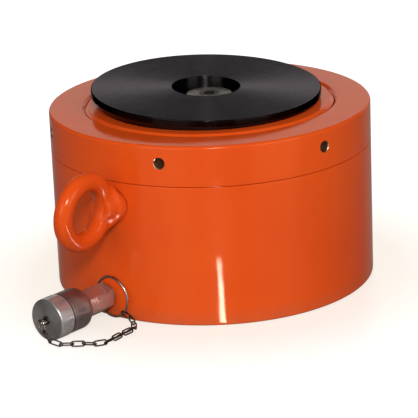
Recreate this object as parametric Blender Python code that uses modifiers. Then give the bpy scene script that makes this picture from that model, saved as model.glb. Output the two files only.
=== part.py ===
# Low-height hydraulic cylinder with a lock nut: single acting, load return, about 250 tons.
# Metres, +Z up. The origin is the centre of the base face. The coupler points to the front left.

import math

import bmesh
import bpy
from mathutils import Matrix, Vector

# Gap kept between pieces that touch or run in each other.
CLEARANCE = 0.0003

# Cylinder body: a thick cup, closed at the bottom.
BODY_DIAMETER = 0.275
BODY_HEIGHT = 0.1185
BODY_FLOOR = 0.026
BORE_DIAMETER = 0.2156
BODY_TOP_CHAMFER = 0.0009
BASE_CHAMFER = 0.0015

# Lock nut: the ring that screws down on the plunger until it stands on the body.
NUT_HEIGHT = 0.034
NUT_TOP_ROUND = 0.0025
NUT_BOTTOM_CHAMFER = 0.0009
NUT_BORE_CHAMFER = 0.0022
TOMMY_HOLE_COUNT = 6
TOMMY_HOLE_DIAMETER = 0.009
TOMMY_HOLE_DEPTH = 0.020
TOMMY_HOLE_HEIGHT = 0.0195
TOMMY_HOLE_START = math.radians(-108)
DRILL_TIP_SLOPE = 0.6

# Plunger: piston at the bottom, thread crest above it, spherical seat on top.
THREAD_DIAMETER = 0.213
PLUNGER_PROUD = 0.0005
PLUNGER_EDGE_WIDTH = 0.003
PLUNGER_EDGE_DROP = 0.002
PISTON_HEIGHT = 0.036
PISTON_BOTTOM_CHAMFER = 0.003
OIL_POCKET_DIAMETER = 0.190
OIL_POCKET_DEPTH = 0.0015
LIP_SHARE = 0.4

# Piston rings, from the bottom of the piston up.
SEAL_GROOVE_HEIGHT = 0.008
SEAL_GROOVE_START = 0.006
SEAL_GROOVE_DEPTH = 0.008
SEAL_RING_HEIGHT = 0.0050
WEAR_GROOVE_START = 0.020
WEAR_GROOVE_HEIGHT = 0.010
WEAR_GROOVE_DEPTH = 0.0025

# Wiper ring in the mouth of the body.
WIPER_GROOVE_DROP = 0.0025
WIPER_GROOVE_HEIGHT = 0.006
WIPER_GROOVE_DEPTH = 0.0042

# Spherical seat in the plunger and the tilting saddle that stands in it.
SEAT_RADIUS = 0.130
SEAT_OPENING_DIAMETER = 0.186
SEAT_PLAY = 0.0004
SADDLE_DIAMETER = 0.197
SADDLE_RIM_HEIGHT = 0.0053
SADDLE_EDGE_CHAMFER = 0.0008
SADDLE_BOTTOM_DIAMETER = 0.056
SADDLE_RECESS_DIAMETER = 0.059
SADDLE_RECESS_DEPTH = 0.010
SADDLE_REST_TILT = math.radians(2.5)
SADDLE_REST_DIRECTION = math.radians(-45)
SADDLE_TILT_LIMIT = math.radians(5)

# The screw, spacer and disc that keep the saddle in its seat.
SPACER_DIAMETER = 0.015
SPACER_PLAY = 0.001
RETAINER_DIAMETER = 0.0386
RETAINER_THICKNESS = 0.003
RETAINER_BELOW_FACE = 0.0055
RETAINER_CHAMFER = 0.0005
SCREW_DIAMETER = 0.010
SCREW_HEAD_DIAMETER = 0.0175
SCREW_HEAD_HEIGHT = 0.0026
SCREW_ENGAGEMENT = 0.018
SCREW_SOCKET_WIDTH = 0.008
SCREW_SOCKET_DEPTH = 0.005

# Lifting eyes, one each side, screwed into flat spots on the body.
EYE_AZIMUTH = math.radians(-126.5)
EYE_DROP = 0.020
EYE_TILT = math.radians(7)
EYE_RING_DIAMETER = 0.066
EYE_SECTION_DIAMETER = 0.0163
EYE_REACH = 0.038
EYE_COLLAR_DIAMETER = 0.028
EYE_COLLAR_THICKNESS = 0.0035
EYE_NECK_DIAMETER = 0.0235
EYE_NECK_TOP_DIAMETER = 0.017
EYE_FLARE_LENGTH = 0.0025
EYE_WEB_START = 0.008
EYE_WEB_END = 0.019
EYE_WEB_START_WIDTH = 0.022
EYE_WEB_END_WIDTH = 0.041
EYE_WEB_THICKNESS = 0.015
EYE_SHANK_DIAMETER = 0.016
EYE_SHANK_LENGTH = 0.019
EYE_SPOT_DEPTH = 0.0016
EYE_SPOT_MARGIN = 0.0008
EYE_HOLE_SPARE = 0.001

# Overflow port: lets oil out when the plunger goes past its stroke.
OVERFLOW_AZIMUTH = math.radians(-135.3)
OVERFLOW_DROP = 0.024
OVERFLOW_DIAMETER = 0.007
OVERFLOW_SINK_DIAMETER = 0.0105

# Oil port, nipple and coupler. Distances along the coupler start at the body's outer face.
PORT_AZIMUTH = math.radians(-131.5)
PORT_HEIGHT = 0.018
PORT_DEPTH = 0.022
OIL_PASSAGE_DIAMETER = 0.006
OIL_OUTLET_DIAMETER = 0.0054
OIL_OUTLET_RADIUS = 0.088
NIPPLE_DIAMETER = 0.017
NIPPLE_BORE_DIAMETER = 0.008
NIPPLE_SHOWN = 0.0032
NIPPLE_IN_COUPLER = 0.013
NIPPLE_CHAMFER = 0.001
NIPPLE_END_GAP = 0.002
ADAPTER_ACROSS_FLATS = 0.0215
ADAPTER_LENGTH = 0.0276
ADAPTER_CORNER_CHAMFER = 0.0012
ADAPTER_ROLL = math.radians(5)
ADAPTER_SPIGOT_DIAMETER = 0.020
ADAPTER_SPIGOT_LENGTH = 0.009
COUPLER_DIAMETER = 0.0346
COUPLER_LENGTH = 0.0245
COUPLER_SHOULDER_LENGTH = 0.0055
COUPLER_SHOULDER_DROP = 0.0038
COUPLER_EDGE_CHAMFER = 0.0008
COUPLER_SPIGOT_DIAMETER = 0.029
COUPLER_SPIGOT_LENGTH = 0.011
COUPLER_BORE_DIAMETER = 0.018
COUPLER_SEAT_DIAMETER = 0.013
COUPLER_SEAT_LENGTH = 0.002
COUPLER_SOCKET_DIAMETER = 0.022
COUPLER_SOCKET_DEPTH = 0.008
POPPET_TRAVEL = 0.004
POPPET_PLAY = 0.0008
POPPET_SEAT_PLAY = 0.0004
POPPET_HEAD_LENGTH = 0.0035
POPPET_NOSE_LENGTH = 0.005
POPPET_NOSE_DIAMETER = 0.007
POPPET_STEM_DIAMETER = 0.0065
SPRING_WIRE_DIAMETER = 0.0012
SPRING_PLAY = 0.001
SPRING_TURNS = 4

# Dust cap on the coupler, its gasket and the swivel that holds the chain.
CAP_DIAMETER = 0.0352
CAP_GAP = 0.0010
CAP_FACE_THICKNESS = 0.0023
CAP_EDGE_ROUND = 0.0013
CAP_THREAD_PLAY = 0.0004
GASKET_THICKNESS = 0.0014
GASKET_INNER_DIAMETER = 0.019
SWIVEL_SHANK_DIAMETER = 0.0038
SWIVEL_HEAD_DIAMETER = 0.0085
SWIVEL_BOSS_DIAMETER = 0.0072
SWIVEL_HEAD_THICKNESS = 0.0013
SWIVEL_CHAMFER = 0.0006
SWIVEL_EYE_DIAMETER = 0.0052
SWIVEL_EYE_WIRE = 0.0018

# Tether: a wire ring round the nipple and a chain from it to the cap's swivel. After two of its links
# the next one starts further back, which leaves the slack that lets the cap come off.
TETHER_RING_DIAMETER = 0.0346
TETHER_RING_WIRE = 0.0018
TETHER_RING_SIDEWAYS = 0.0074
TETHER_RING_HEIGHT = 0.0186
TETHER_HOOK_ANGLE = math.radians(-42)
LINK_WIRE = 0.0013
LINK_WIDTH = 0.0056
LINK_LENGTH = 0.0126
LINK_PLAY = 0.0009
LINK_SLACK = 0.0050
SLACK_AFTER = (4, 6)
LINK_LEAN = math.radians(45)
LINK_ARC_STEPS = 3
LEANING_AFTER = 3

# Number of flat sides on round pieces.
LARGE_SIDES = 54
MEDIUM_SIDES = 28
SMALL_SIDES = 16
WIRE_SIDES = 6
ARC_STEPS = 3
SEAT_STEPS = 8
SPRING_STEPS = 10
ROUTE_STEPS = 12
HALVINGS = 40

# How far a cutter stands out of the face that it cuts, and the angle from which an edge is sharp.
CUT_OVERRUN = 0.01
MERGE_DISTANCE = 1e-6
SHARP_ANGLE = math.radians(32)

BODY_RADIUS = BODY_DIAMETER / 2
BORE_RADIUS = BORE_DIAMETER / 2
THREAD_RADIUS = THREAD_DIAMETER / 2
PISTON_RADIUS = BORE_RADIUS - CLEARANCE
EYE_HEIGHT = BODY_HEIGHT - EYE_DROP
OVERFLOW_HEIGHT = BODY_HEIGHT - OVERFLOW_DROP
PLUNGER_BOTTOM = BODY_FLOOR + CLEARANCE
NUT_BOTTOM = BODY_HEIGHT + CLEARANCE
NUT_TOP = NUT_BOTTOM + NUT_HEIGHT
PLUNGER_TOP = NUT_TOP + PLUNGER_PROUD
SEAT_CENTRE = PLUNGER_TOP + math.sqrt(SEAT_RADIUS**2 - (SEAT_OPENING_DIAMETER / 2) ** 2)
SADDLE_SPHERE_RADIUS = SEAT_RADIUS - SEAT_PLAY
SADDLE_RIM_BOTTOM = SEAT_CENTRE - math.sqrt(SADDLE_SPHERE_RADIUS**2 - (SADDLE_DIAMETER / 2) ** 2)
SADDLE_TOP = SADDLE_RIM_BOTTOM + SADDLE_RIM_HEIGHT

ADAPTER_START = NIPPLE_SHOWN
COUPLER_START = ADAPTER_START + ADAPTER_LENGTH + CLEARANCE
COUPLER_END = COUPLER_START + COUPLER_LENGTH
SPIGOT_END = COUPLER_END + COUPLER_SPIGOT_LENGTH
GASKET_START = SPIGOT_END + CLEARANCE
CAP_INNER_FACE = GASKET_START + GASKET_THICKNESS + CLEARANCE
CAP_OUTER_FACE = CAP_INNER_FACE + CAP_FACE_THICKNESS
SEAT_LIP_END = SPIGOT_END - COUPLER_SOCKET_DEPTH
SEAT_LIP_START = SEAT_LIP_END - COUPLER_SEAT_LENGTH
SWIVEL_BOSS_END = CAP_OUTER_FACE + CLEARANCE + SWIVEL_HEAD_THICKNESS
SWIVEL_EYE_CENTRE = SWIVEL_BOSS_END + SWIVEL_EYE_DIAMETER / 2

# Height of the middle of a link that leans on the floor.
CHAIN_FLOOR_HEIGHT = CLEARANCE + LINK_WIRE / 2 + (LINK_WIDTH - LINK_WIRE) / 2 * math.sin(LINK_LEAN)

# Chain route, as shares: along the coupler and across it, of the way from the body to the swivel's
# eye, and in height, of the way from the floor to the port.
CHAIN_ROUTE = [
    (0.035, 0.349, 0.163),
    (0.080, 0.453, 0.073),
    (0.140, 0.533, 0.010),
    (0.220, 0.566, 0.0),
    (0.300, 0.570, 0.0),
    (0.400, 0.575, 0.0),
    (0.493, 0.583, 0.0),
    (0.586, 0.590, 0.0),
    (0.692, 0.580, 0.0),
    (0.772, 0.519, 0.0),
    (0.832, 0.419, 0.0),
    (0.919, 0.320, 0.0),
    (1.012, 0.226, 0.030),
    (1.052, 0.120, 0.229),
    (1.043, 0.043, 0.576),
]


def clear_scene():
    for obj in list(bpy.data.objects):
        bpy.data.objects.remove(obj, do_unlink=True)


def new_collection(name):
    collection = bpy.data.collections.new(name)
    bpy.context.scene.collection.children.link(collection)
    return collection


clear_scene()
PARTS = new_collection("lock_nut_cylinder")
CUTTERS = new_collection("cutters")


def material(name, colour, roughness, metallic):
    made = bpy.data.materials.new(name)
    made.use_nodes = True
    shader = made.node_tree.nodes["Principled BSDF"]
    shader.inputs["Base Color"].default_value = (*colour, 1)
    shader.inputs["Roughness"].default_value = roughness
    shader.inputs["Metallic"].default_value = metallic
    return made


BODY_PAINT = material("orange_body_paint", (0.72, 0.085, 0.012), 0.28, 0)
NUT_PAINT = material("orange_nut_paint", (0.72, 0.085, 0.012), 0.28, 0)
EYE_PAINT = material("orange_eye_paint", (0.72, 0.085, 0.012), 0.3, 0)
PLUNGER_PAINT = material("orange_plunger_coat", (0.70, 0.09, 0.015), 0.3, 0)
SADDLE_BLACK = material("black_saddle_finish", (0.03, 0.03, 0.033), 0.35, 0.6)
RETAINER_STEEL = material("retainer_steel", (0.2, 0.2, 0.2), 0.4, 1)
SCREW_STEEL = material("black_screw_steel", (0.06, 0.06, 0.06), 0.4, 1)
SPACER_STEEL = material("spacer_steel", (0.4, 0.4, 0.4), 0.35, 1)
SEAL_RUBBER = material("seal_rubber", (0.02, 0.02, 0.02), 0.6, 0)
BACKUP_PLASTIC = material("backup_ring_plastic", (0.8, 0.78, 0.7), 0.5, 0)
WEAR_PLASTIC = material("wear_ring_plastic", (0.25, 0.14, 0.06), 0.5, 0)
WIPER_RUBBER = material("wiper_rubber", (0.03, 0.03, 0.03), 0.6, 0)
NIPPLE_STEEL = material("nipple_steel", (0.32, 0.3, 0.28), 0.35, 1)
ADAPTER_STEEL = material("adapter_steel", (0.36, 0.31, 0.29), 0.28, 1)
COUPLER_STEEL = material("coupler_steel", (0.27, 0.24, 0.23), 0.35, 1)
POPPET_STEEL = material("poppet_steel", (0.5, 0.5, 0.5), 0.25, 1)
SPRING_STEEL = material("spring_steel", (0.45, 0.45, 0.45), 0.3, 1)
CAP_METAL = material("dust_cap_metal", (0.3, 0.29, 0.29), 0.3, 1)
GASKET_RUBBER = material("gasket_rubber", (0.03, 0.03, 0.03), 0.6, 0)
SWIVEL_STEEL = material("swivel_steel", (0.5, 0.48, 0.46), 0.25, 1)
TETHER_STEEL = material("tether_ring_steel", (0.35, 0.3, 0.27), 0.25, 1)
CHAIN_STEEL = material("chain_steel", (0.14, 0.11, 0.09), 0.4, 1)


def evaluated_mesh(obj):
    """The object's mesh with its modifiers applied, its loose doubles merged."""
    bpy.context.view_layer.update()
    graph = bpy.context.evaluated_depsgraph_get()
    mesh = bpy.data.meshes.new_from_object(obj.evaluated_get(graph))
    shape = bmesh.new()
    shape.from_mesh(mesh)
    bmesh.ops.remove_doubles(shape, verts=shape.verts, dist=MERGE_DISTANCE)
    shape.to_mesh(mesh)
    shape.free()
    return mesh


def shade_round(mesh):
    mesh.shade_smooth()
    mesh.set_sharp_from_angle(angle=SHARP_ANGLE)


def place(name, mesh, paint, matrix=None, collection=None, shade=True):
    if paint:
        mesh.materials.clear()
        mesh.materials.append(paint)
    if shade:
        shade_round(mesh)
    obj = bpy.data.objects.new(name, mesh)
    (collection or PARTS).objects.link(obj)
    obj.matrix_world = matrix or Matrix()
    return obj


def turned_mesh(profile, sides):
    """A profile of (radius, height) points at +X, turned once round Z."""
    mesh = bpy.data.meshes.new("profile")
    closed = profile[0][0] > 0 or profile[-1][0] > 0
    edges = [(i, i + 1) for i in range(len(profile) - 1)]
    if closed:
        edges.append((len(profile) - 1, 0))
    mesh.from_pydata([(radius, 0, height) for radius, height in profile], edges, [])
    holder = bpy.data.objects.new("profile", mesh)
    PARTS.objects.link(holder)
    screw = holder.modifiers.new("turn", "SCREW")
    screw.angle = math.tau
    screw.steps = sides
    screw.render_steps = sides
    screw.use_merge_vertices = True
    screw.merge_threshold = MERGE_DISTANCE
    made = evaluated_mesh(holder)
    bpy.data.objects.remove(holder, do_unlink=True)
    bpy.data.meshes.remove(mesh)
    return made


def turned(name, profile, paint, sides=MEDIUM_SIDES, matrix=None):
    return place(name, turned_mesh(profile, sides), paint, matrix)


def tube(inner, outer, low, high, chamfer=0.0):
    """Profile of a ring of square section, its outer corners chamfered."""
    return [
        (inner, high),
        (outer - chamfer, high),
        *([(outer, high - chamfer)] if chamfer else []),
        (outer, low + chamfer),
        *([(outer - chamfer, low)] if chamfer else []),
        (inner, low),
    ]


def arc(centre, radius, start, end, steps):
    """Points on an arc in the profile's plane, both ends included."""
    points = []
    for i in range(steps + 1):
        angle = start + (end - start) * i / steps
        points.append((centre[0] + radius * math.cos(angle), centre[1] + radius * math.sin(angle)))
    return points


def radial_frame(azimuth, height, distance=BODY_RADIUS):
    """Local +Z points out of the body, local +X runs across and local +Y points up."""
    outward = Vector((math.cos(azimuth), math.sin(azimuth), 0))
    across = Vector((-math.sin(azimuth), math.cos(azimuth), 0))
    turn = Matrix((across, Vector((0, 0, 1)), outward)).transposed().to_4x4()
    return Matrix.Translation(outward * distance + Vector((0, 0, height))) @ turn


def cutter(name, profile, matrix, sides=SMALL_SIDES):
    obj = place(name, turned_mesh(profile, sides), None, matrix, CUTTERS, shade=False)
    obj.hide_render = True
    obj.display_type = "WIRE"
    return obj


def plug(radius, low, high):
    """Profile of a plain round bar along Z."""
    return [(0, high), (radius, high), (radius, low), (0, low)]


def combine(obj, other, operation):
    step = obj.modifiers.new(other.name, "BOOLEAN")
    step.object = other
    step.operation = operation
    step.solver = "EXACT"


def make_body():
    groove_top = BODY_HEIGHT - WIPER_GROOVE_DROP
    groove_bottom = groove_top - WIPER_GROOVE_HEIGHT
    body = turned(
        "cylinder_body",
        [
            (BORE_RADIUS, BODY_HEIGHT),
            (BODY_RADIUS - BODY_TOP_CHAMFER, BODY_HEIGHT),
            (BODY_RADIUS, BODY_HEIGHT - BODY_TOP_CHAMFER),
            (BODY_RADIUS, BASE_CHAMFER),
            (BODY_RADIUS - BASE_CHAMFER, 0),
            (0, 0),
            (0, BODY_FLOOR),
            (BORE_RADIUS, BODY_FLOOR),
            (BORE_RADIUS, groove_bottom),
            (BORE_RADIUS + WIPER_GROOVE_DEPTH, groove_bottom),
            (BORE_RADIUS + WIPER_GROOVE_DEPTH, groove_top),
            (BORE_RADIUS, groove_top),
        ],
        BODY_PAINT,
        LARGE_SIDES,
    )
    port = radial_frame(PORT_AZIMUTH, PORT_HEIGHT)
    port_radius = NIPPLE_DIAMETER / 2 + CLEARANCE
    combine(body, cutter("port_cut", plug(port_radius, -PORT_DEPTH, CUT_OVERRUN), port), "DIFFERENCE")
    passage = OIL_PASSAGE_DIAMETER / 2
    inner_end = OIL_OUTLET_RADIUS - BODY_RADIUS - passage
    passage_cut = cutter("oil_passage_cut", plug(passage, inner_end, -PORT_DEPTH / 2), port)
    combine(body, passage_cut, "DIFFERENCE")
    outlet = Matrix.Translation(port @ Vector((0, 0, OIL_OUTLET_RADIUS - BODY_RADIUS)))
    rise = BODY_FLOOR - PORT_HEIGHT + passage
    outlet_cut = cutter("oil_outlet_cut", plug(OIL_OUTLET_DIAMETER / 2, 0, rise), outlet)
    combine(body, outlet_cut, "DIFFERENCE")
    overflow = radial_frame(OVERFLOW_AZIMUTH, OVERFLOW_HEIGHT)
    through = BORE_RADIUS - BODY_RADIUS - CUT_OVERRUN
    sink = (OVERFLOW_SINK_DIAMETER - OVERFLOW_DIAMETER) / 2
    overflow_profile = [
        (0, sink),
        (OVERFLOW_SINK_DIAMETER / 2 + sink, sink),
        (OVERFLOW_DIAMETER / 2, -sink),
        (OVERFLOW_DIAMETER / 2, through),
        (0, through),
    ]
    combine(body, cutter("overflow_cut", overflow_profile, overflow), "DIFFERENCE")
    collar_radius = EYE_COLLAR_DIAMETER / 2 + EYE_SPOT_MARGIN
    shank_radius = EYE_SHANK_DIAMETER / 2 + CLEARANCE
    hole_end = -EYE_SPOT_DEPTH - EYE_SHANK_LENGTH - EYE_HOLE_SPARE
    for side in range(2):
        frame = eye_frame(side)
        spot = [
            (0, CUT_OVERRUN),
            (collar_radius, CUT_OVERRUN),
            (collar_radius, -EYE_SPOT_DEPTH),
            (shank_radius, -EYE_SPOT_DEPTH),
            (shank_radius, hole_end),
            (0, hole_end),
        ]
        combine(body, cutter(f"eye_spot_cut_{side + 1}", spot, frame, MEDIUM_SIDES), "DIFFERENCE")


def make_wiper():
    top = BODY_HEIGHT - WIPER_GROOVE_DROP - CLEARANCE
    bottom = BODY_HEIGHT - WIPER_GROOVE_DROP - WIPER_GROOVE_HEIGHT + CLEARANCE
    inner = THREAD_RADIUS + CLEARANCE
    outer = BORE_RADIUS + WIPER_GROOVE_DEPTH - CLEARANCE
    lip = (outer - inner) * LIP_SHARE
    turned(
        "wiper_ring",
        [(inner, top), (outer, top), (outer, bottom), (inner + lip, bottom), (inner + lip, top - lip)],
        WIPER_RUBBER,
        LARGE_SIDES,
    )


def make_lock_nut():
    bore = THREAD_RADIUS + CLEARANCE
    corner = (BODY_RADIUS - NUT_TOP_ROUND, NUT_TOP - NUT_TOP_ROUND)
    nut = turned(
        "lock_nut",
        [
            (bore + NUT_BORE_CHAMFER, NUT_TOP),
            *arc(corner, NUT_TOP_ROUND, math.pi / 2, 0, ARC_STEPS),
            (BODY_RADIUS, NUT_BOTTOM + NUT_BOTTOM_CHAMFER),
            (BODY_RADIUS - NUT_BOTTOM_CHAMFER, NUT_BOTTOM),
            (bore + NUT_BORE_CHAMFER, NUT_BOTTOM),
            (bore, NUT_BOTTOM + NUT_BORE_CHAMFER),
            (bore, NUT_TOP - NUT_BORE_CHAMFER),
        ],
        NUT_PAINT,
        LARGE_SIDES,
    )
    radius = TOMMY_HOLE_DIAMETER / 2
    profile = [
        (0, CUT_OVERRUN),
        (radius, CUT_OVERRUN),
        (radius, -TOMMY_HOLE_DEPTH),
        (0, -TOMMY_HOLE_DEPTH - radius * DRILL_TIP_SLOPE),
    ]
    for i in range(TOMMY_HOLE_COUNT):
        azimuth = TOMMY_HOLE_START + i * math.tau / TOMMY_HOLE_COUNT
        frame = radial_frame(azimuth, NUT_BOTTOM + TOMMY_HOLE_HEIGHT)
        combine(nut, cutter(f"tommy_hole_cut_{i + 1}", profile, frame), "DIFFERENCE")


def make_plunger():
    piston_top = PLUNGER_BOTTOM + PISTON_HEIGHT
    seal_low = PLUNGER_BOTTOM + SEAL_GROOVE_START
    seal_high = seal_low + SEAL_GROOVE_HEIGHT
    wear_low = PLUNGER_BOTTOM + WEAR_GROOVE_START
    wear_high = wear_low + WEAR_GROOVE_HEIGHT
    seat_edge = math.asin(SEAT_OPENING_DIAMETER / 2 / SEAT_RADIUS)
    hole = SCREW_DIAMETER / 2 + CLEARANCE
    hole_edge = math.asin((SPACER_DIAMETER / 2 + SPACER_PLAY) / SEAT_RADIUS)
    spot = SEAT_CENTRE - SEAT_RADIUS * math.cos(hole_edge)
    bowl = arc((0, SEAT_CENTRE), SEAT_RADIUS, hole_edge - math.pi / 2, seat_edge - math.pi / 2, SEAT_STEPS)
    shoulder = PISTON_RADIUS - THREAD_RADIUS
    turned(
        "plunger",
        [
            (0, spot - SCREW_ENGAGEMENT - hole * DRILL_TIP_SLOPE),
            (hole, spot - SCREW_ENGAGEMENT),
            (hole, spot),
            *bowl,
            (THREAD_RADIUS - PLUNGER_EDGE_WIDTH, PLUNGER_TOP),
            (THREAD_RADIUS, PLUNGER_TOP - PLUNGER_EDGE_DROP),
            (THREAD_RADIUS, piston_top),
            (PISTON_RADIUS, piston_top - shoulder),
            (PISTON_RADIUS, wear_high),
            (PISTON_RADIUS - WEAR_GROOVE_DEPTH, wear_high),
            (PISTON_RADIUS - WEAR_GROOVE_DEPTH, wear_low),
            (PISTON_RADIUS, wear_low),
            (PISTON_RADIUS, seal_high),
            (PISTON_RADIUS - SEAL_GROOVE_DEPTH, seal_high),
            (PISTON_RADIUS - SEAL_GROOVE_DEPTH, seal_low),
            (PISTON_RADIUS, seal_low),
            (PISTON_RADIUS, PLUNGER_BOTTOM + PISTON_BOTTOM_CHAMFER),
            (PISTON_RADIUS - PISTON_BOTTOM_CHAMFER, PLUNGER_BOTTOM),
            (OIL_POCKET_DIAMETER / 2, PLUNGER_BOTTOM),
            (OIL_POCKET_DIAMETER / 2 - OIL_POCKET_DEPTH, PLUNGER_BOTTOM + OIL_POCKET_DEPTH),
            (0, PLUNGER_BOTTOM + OIL_POCKET_DEPTH),
        ],
        PLUNGER_PAINT,
        LARGE_SIDES,
    )


def make_piston_rings():
    outer = PISTON_RADIUS
    seal_low = PLUNGER_BOTTOM + SEAL_GROOVE_START + CLEARANCE
    seal_high = seal_low + SEAL_RING_HEIGHT
    inner = outer - SEAL_GROOVE_DEPTH + CLEARANCE
    middle = (inner + outer) / 2
    lip = SEAL_RING_HEIGHT * LIP_SHARE
    seal = [
        (inner, seal_high),
        (outer, seal_high),
        (outer, seal_low),
        (middle, seal_low + lip),
        (inner, seal_low),
    ]
    turned("piston_seal", seal, SEAL_RUBBER, LARGE_SIDES)
    backup_low = seal_high + CLEARANCE
    backup_high = PLUNGER_BOTTOM + SEAL_GROOVE_START + SEAL_GROOVE_HEIGHT - CLEARANCE
    turned("seal_backup_ring", tube(inner, outer, backup_low, backup_high), BACKUP_PLASTIC, LARGE_SIDES)
    wear_low = PLUNGER_BOTTOM + WEAR_GROOVE_START + CLEARANCE
    wear_high = wear_low + WEAR_GROOVE_HEIGHT - 2 * CLEARANCE
    wear_inner = outer - WEAR_GROOVE_DEPTH + CLEARANCE
    turned("piston_wear_ring", tube(wear_inner, outer, wear_low, wear_high), WEAR_PLASTIC, LARGE_SIDES)


def tilt_frame():
    """Turns a level piece about the seat's centre to the tilt that the saddle rests at."""
    axis = Vector((-math.sin(SADDLE_REST_DIRECTION), math.cos(SADDLE_REST_DIRECTION), 0))
    centre = Matrix.Translation((0, 0, SEAT_CENTRE))
    return centre @ Matrix.Rotation(SADDLE_REST_TILT, 4, axis) @ centre.inverted()


def saddle_hole_radius(height):
    """The hole leaves the spacer free at full tilt, which needs more room lower down."""
    swing = (SEAT_CENTRE - height) * math.sin(SADDLE_TILT_LIMIT)
    return SPACER_DIAMETER / 2 + swing + SPACER_PLAY


def make_saddle():
    radius = SADDLE_DIAMETER / 2
    rim = math.asin(radius / SADDLE_SPHERE_RADIUS)
    foot = math.asin(SADDLE_BOTTOM_DIAMETER / 2 / SADDLE_SPHERE_RADIUS)
    underside = arc((0, SEAT_CENTRE), SADDLE_SPHERE_RADIUS, rim - math.pi / 2, foot - math.pi / 2, SEAT_STEPS)
    foot_height = underside[-1][1]
    recess_floor = SADDLE_TOP - SADDLE_RECESS_DEPTH
    recess = SADDLE_RECESS_DIAMETER / 2
    turned(
        "saddle",
        [
            (recess, SADDLE_TOP),
            (radius - SADDLE_EDGE_CHAMFER, SADDLE_TOP),
            (radius, SADDLE_TOP - SADDLE_EDGE_CHAMFER),
            *underside,
            (saddle_hole_radius(foot_height), foot_height),
            (saddle_hole_radius(recess_floor), recess_floor),
            (recess, recess_floor),
        ],
        SADDLE_BLACK,
        LARGE_SIDES,
        tilt_frame(),
    )


def make_saddle_retainer():
    disc_top = SADDLE_TOP - RETAINER_BELOW_FACE
    disc_bottom = disc_top - RETAINER_THICKNESS
    hole = SCREW_DIAMETER / 2 + CLEARANCE
    spacer_edge = math.sqrt(SEAT_RADIUS**2 - (SPACER_DIAMETER / 2) ** 2)
    spacer_bottom = SEAT_CENTRE - spacer_edge + CLEARANCE
    spacer = tube(hole, SPACER_DIAMETER / 2, spacer_bottom, disc_bottom - CLEARANCE)
    turned("saddle_spacer", spacer, SPACER_STEEL)
    head = SCREW_HEAD_DIAMETER / 2
    head_bottom = disc_top - SCREW_HEAD_HEIGHT
    disc = [
        (head + CLEARANCE, disc_top),
        (RETAINER_DIAMETER / 2 - RETAINER_CHAMFER, disc_top),
        (RETAINER_DIAMETER / 2, disc_top - RETAINER_CHAMFER),
        (RETAINER_DIAMETER / 2, disc_bottom),
        (hole, disc_bottom),
        (hole, head_bottom),
    ]
    turned("saddle_retainer_disc", disc, RETAINER_STEEL)
    shank_end = SEAT_CENTRE - SEAT_RADIUS - SCREW_ENGAGEMENT + CLEARANCE
    screw = turned(
        "saddle_retainer_screw",
        [
            (0, disc_top),
            (head, disc_top),
            (SCREW_DIAMETER / 2, head_bottom),
            (SCREW_DIAMETER / 2, shank_end),
            (0, shank_end),
        ],
        SCREW_STEEL,
        SMALL_SIDES,
    )
    socket = plug(SCREW_SOCKET_WIDTH / math.sqrt(3), -SCREW_SOCKET_DEPTH, CUT_OVERRUN)
    at = Matrix.Translation((0, 0, disc_top))
    combine(screw, cutter("screw_socket_cut", socket, at, 6), "DIFFERENCE")


def torus_mesh(ring_radius, wire_radius, ring_sides, wire_sides):
    bpy.ops.mesh.primitive_torus_add(
        major_radius=ring_radius,
        minor_radius=wire_radius,
        major_segments=ring_sides,
        minor_segments=wire_sides,
    )
    made = bpy.context.object
    mesh = made.data
    bpy.data.objects.remove(made, do_unlink=True)
    return mesh


def eye_frame(side):
    """The eye's hole is drilled a little upward, so the ring stands above its root."""
    return radial_frame(EYE_AZIMUTH + side * math.pi, EYE_HEIGHT) @ Matrix.Rotation(-EYE_TILT, 4, "X")


def eye_web_mesh():
    """The flat shoulder that spreads from the neck to the ring, in the ring's own plane."""
    bpy.ops.mesh.primitive_cone_add(
        vertices=SMALL_SIDES,
        radius1=EYE_WEB_START_WIDTH / 2,
        radius2=EYE_WEB_END_WIDTH / 2,
        depth=EYE_WEB_END - EYE_WEB_START,
    )
    made = bpy.context.object
    mesh = made.data
    bpy.data.objects.remove(made, do_unlink=True)
    flatten = Matrix.Scale(EYE_WEB_THICKNESS / EYE_WEB_END_WIDTH, 4, Vector((1, 0, 0)))
    mesh.transform(Matrix.Translation((0, 0, (EYE_WEB_START + EYE_WEB_END) / 2)) @ flatten)
    return mesh


def make_eyes():
    section = EYE_SECTION_DIAMETER / 2
    ring_radius = EYE_RING_DIAMETER / 2 - section
    seat = CLEARANCE - EYE_SPOT_DEPTH
    collar = EYE_COLLAR_DIAMETER / 2
    neck_end = EYE_REACH - ring_radius
    stem = [
        (0, neck_end),
        (EYE_NECK_TOP_DIAMETER / 2, neck_end),
        (EYE_NECK_DIAMETER / 2, EYE_COLLAR_THICKNESS + EYE_FLARE_LENGTH),
        (collar, EYE_COLLAR_THICKNESS + seat),
        (collar, seat),
        (EYE_SHANK_DIAMETER / 2, seat),
        (EYE_SHANK_DIAMETER / 2, seat - EYE_SHANK_LENGTH),
        (0, seat - EYE_SHANK_LENGTH),
    ]
    upright = Matrix.Rotation(math.pi / 2, 4, "Y")
    ring_mesh = torus_mesh(ring_radius, section, LARGE_SIDES // 2, MEDIUM_SIDES // 2)
    ring_mesh.transform(Matrix.Translation((0, 0, EYE_REACH)) @ upright)
    stem_holder = place("eye_stem", turned_mesh(stem, MEDIUM_SIDES), None, None, PARTS, shade=False)
    for name, mesh in (("eye_web_join", eye_web_mesh()), ("eye_ring_join", ring_mesh)):
        joined = place(name, mesh, None, None, CUTTERS, shade=False)
        joined.hide_render = True
        joined.display_type = "WIRE"
        combine(stem_holder, joined, "UNION")
    mesh = evaluated_mesh(stem_holder)
    bpy.data.objects.remove(stem_holder, do_unlink=True)
    for side, name in enumerate(("lifting_eye_front", "lifting_eye_rear")):
        place(name, mesh, EYE_PAINT, eye_frame(side))


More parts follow.
